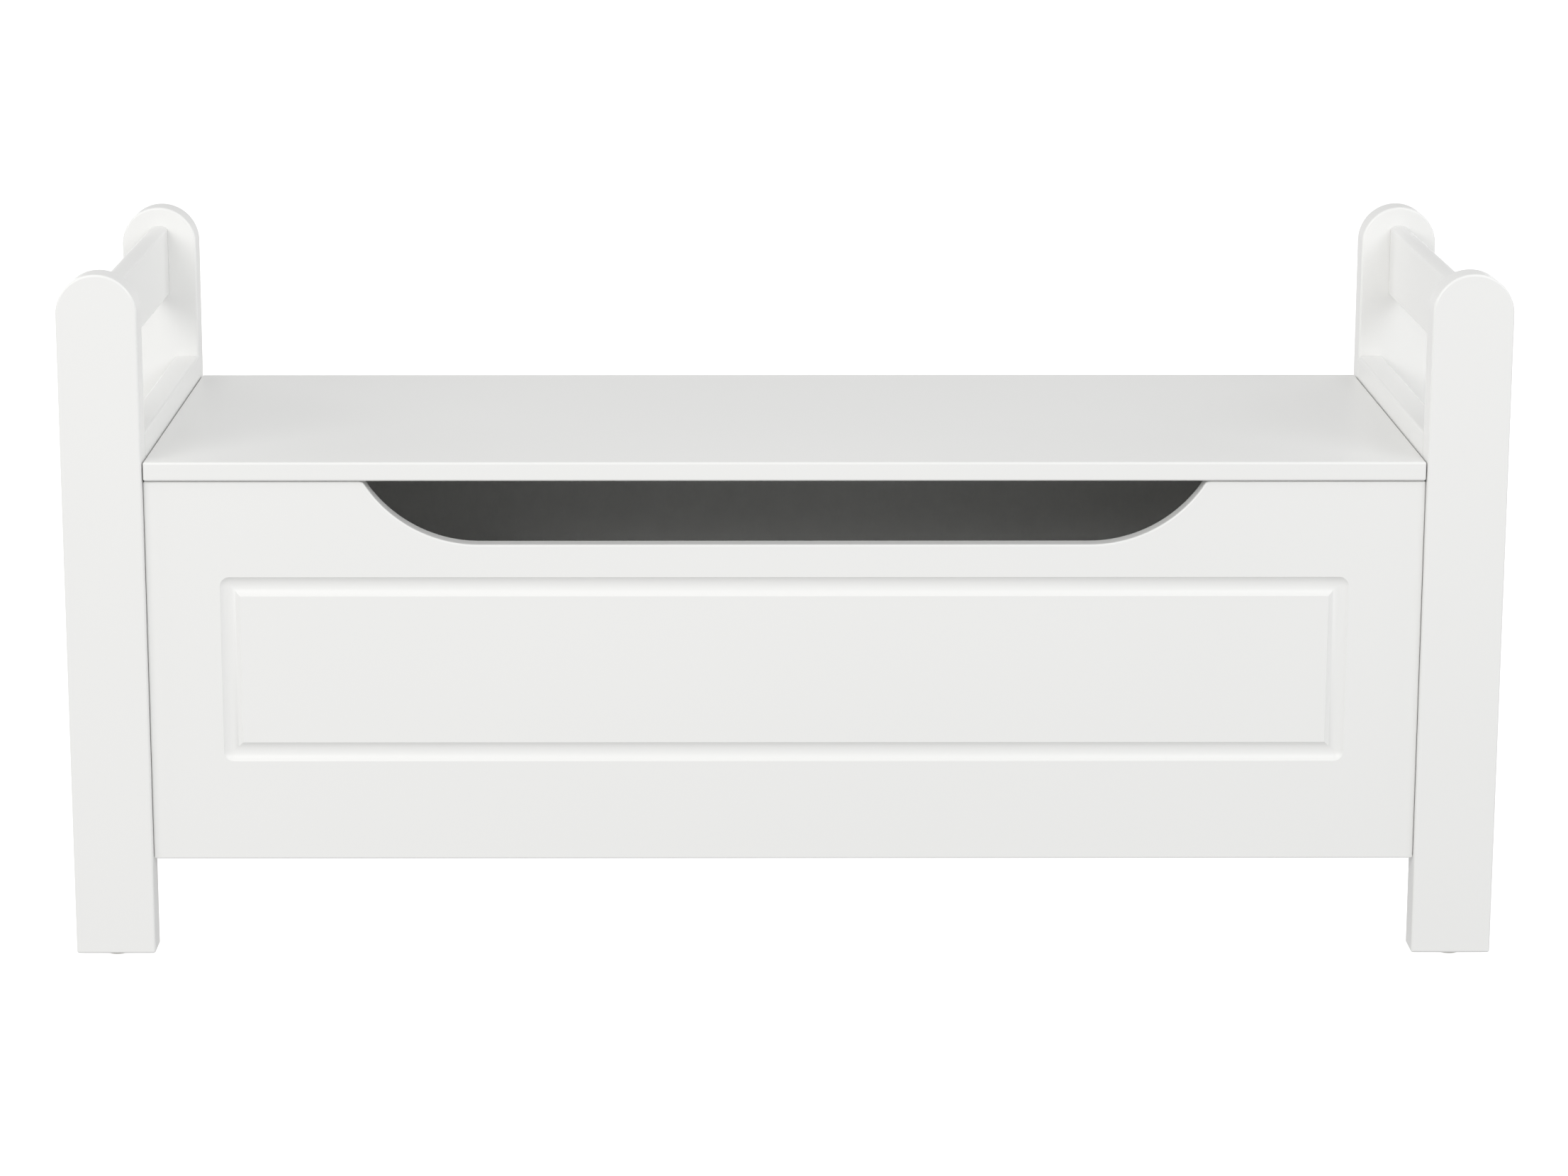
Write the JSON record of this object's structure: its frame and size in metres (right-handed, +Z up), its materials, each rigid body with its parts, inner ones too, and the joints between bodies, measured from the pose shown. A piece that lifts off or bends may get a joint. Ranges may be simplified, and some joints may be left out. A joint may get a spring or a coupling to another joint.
{
  "type": "storage bench",
  "caption": "Low white bench with a hinged seat lid over a storage chest, round-topped board legs, arm rails at both ends and a hand cut-out in the front panel.",
  "frame": {"origin": "on the floor under the middle of the bench", "axes": "+X along the bench to its right end, -Y towards the front, +Z up"},
  "size_m": [1.2, 0.4, 0.586],
  "materials": {
    "white_lacquer": "satin white lacquer over fine fibreboard, smooth, edges eased",
    "hinge_steel": "bright plated steel",
    "zinc_steel": "dull zinc plate",
    "glide_plastic": "moulded nylon, matt",
    "bumper_rubber": "soft pale rubber, matt"
  },
  "bodies": {
    "frame": {"arm_rail_left": "white_lacquer", "arm_rail_right": "white_lacquer", "back_panel": "white_lacquer", "bumper_left": "bumper_rubber", "bumper_right": "bumper_rubber", "cam_lock_back_left_lower": "zinc_steel", "cam_lock_back_left_upper": "zinc_steel", "cam_lock_back_right_lower": "zinc_steel", "cam_lock_back_right_upper": "zinc_steel", "cam_lock_front_left_lower": "zinc_steel", "cam_lock_front_left_upper": "zinc_steel", "cam_lock_front_right_lower": "zinc_steel", "cam_lock_front_right_upper": "zinc_steel", "chest_floor": "white_lacquer", "cleat_back": "white_lacquer", "cleat_front": "white_lacquer", "cleat_left": "white_lacquer", "cleat_right": "white_lacquer", "front_panel": "white_lacquer", "glide_back_left": "glide_plastic", "glide_back_right": "glide_plastic", "glide_front_left": "glide_plastic", "glide_front_right": "glide_plastic", "hinge_leaf_fixed_left": "hinge_steel", "hinge_leaf_fixed_right": "hinge_steel", "hinge_pin_left": "hinge_steel", "hinge_pin_right": "hinge_steel", "hinge_screw_fixed_left_inner": "hinge_steel", "hinge_screw_fixed_left_outer": "hinge_steel", "hinge_screw_fixed_right_inner": "hinge_steel", "hinge_screw_fixed_right_outer": "hinge_steel", "leg_back_left": "white_lacquer", "leg_back_right": "white_lacquer", "leg_front_left": "white_lacquer", "leg_front_right": "white_lacquer", "side_panel_left": "white_lacquer", "side_panel_right": "white_lacquer", "side_plate_screw_left_lower": "zinc_steel", "side_plate_screw_left_upper": "zinc_steel", "side_plate_screw_right_lower": "zinc_steel", "side_plate_screw_right_upper": "zinc_steel", "stay_side_plate_left": "zinc_steel", "stay_side_plate_right": "zinc_steel"},
    "lid": {"bracket_screw_left_back": "zinc_steel", "bracket_screw_left_front": "zinc_steel", "bracket_screw_right_back": "zinc_steel", "bracket_screw_right_front": "zinc_steel", "hinge_leaf_lid_left": "hinge_steel", "hinge_leaf_lid_right": "hinge_steel", "hinge_screw_lid_left_inner": "hinge_steel", "hinge_screw_lid_left_outer": "hinge_steel", "hinge_screw_lid_right_inner": "hinge_steel", "hinge_screw_lid_right_outer": "hinge_steel", "lid": "white_lacquer", "stay_lid_bracket_left": "zinc_steel", "stay_lid_bracket_right": "zinc_steel"},
    "stay_lower_left": {"stay_lower_arm_left": "zinc_steel"},
    "stay_lower_right": {"stay_lower_arm_right": "zinc_steel"},
    "stay_upper_left": {"stay_upper_arm_left": "zinc_steel"},
    "stay_upper_right": {"stay_upper_arm_right": "zinc_steel"}
  },
  "joints": [
    {"name": "lid_hinge", "type": "hinge", "parent": "frame", "child": "lid", "pos_m": [0, 0.191, 0.411], "axis": [-1, 0, 0], "range_deg": [0, 90]},
    {"name": "stay_side_pivot_left", "type": "hinge", "parent": "frame", "child": "stay_lower_left", "pos_m": [-0.5283, 0.155, 0.301], "axis": [-1, 0, 0], "range_deg": [0, 90]},
    {"name": "stay_lid_pivot_left", "type": "hinge", "parent": "lid", "child": "stay_upper_left", "pos_m": [-0.5283, 0.041, 0.398], "axis": [-1, 0, 0], "range_deg": [-90, 0]},
    {"name": "stay_side_pivot_right", "type": "hinge", "parent": "frame", "child": "stay_lower_right", "pos_m": [0.5283, 0.155, 0.301], "axis": [-1, 0, 0], "range_deg": [0, 90]},
    {"name": "stay_lid_pivot_right", "type": "hinge", "parent": "lid", "child": "stay_upper_right", "pos_m": [0.5283, 0.041, 0.398], "axis": [-1, 0, 0], "range_deg": [-90, 0]}
  ],
  "couplings": [
    {"joint": "stay_side_pivot_left", "follows": "lid_hinge", "ratio": 1},
    {"joint": "stay_lid_pivot_left", "follows": "lid_hinge", "ratio": -1},
    {"joint": "stay_side_pivot_right", "follows": "lid_hinge", "ratio": 1},
    {"joint": "stay_lid_pivot_right", "follows": "lid_hinge", "ratio": -1}
  ]
}
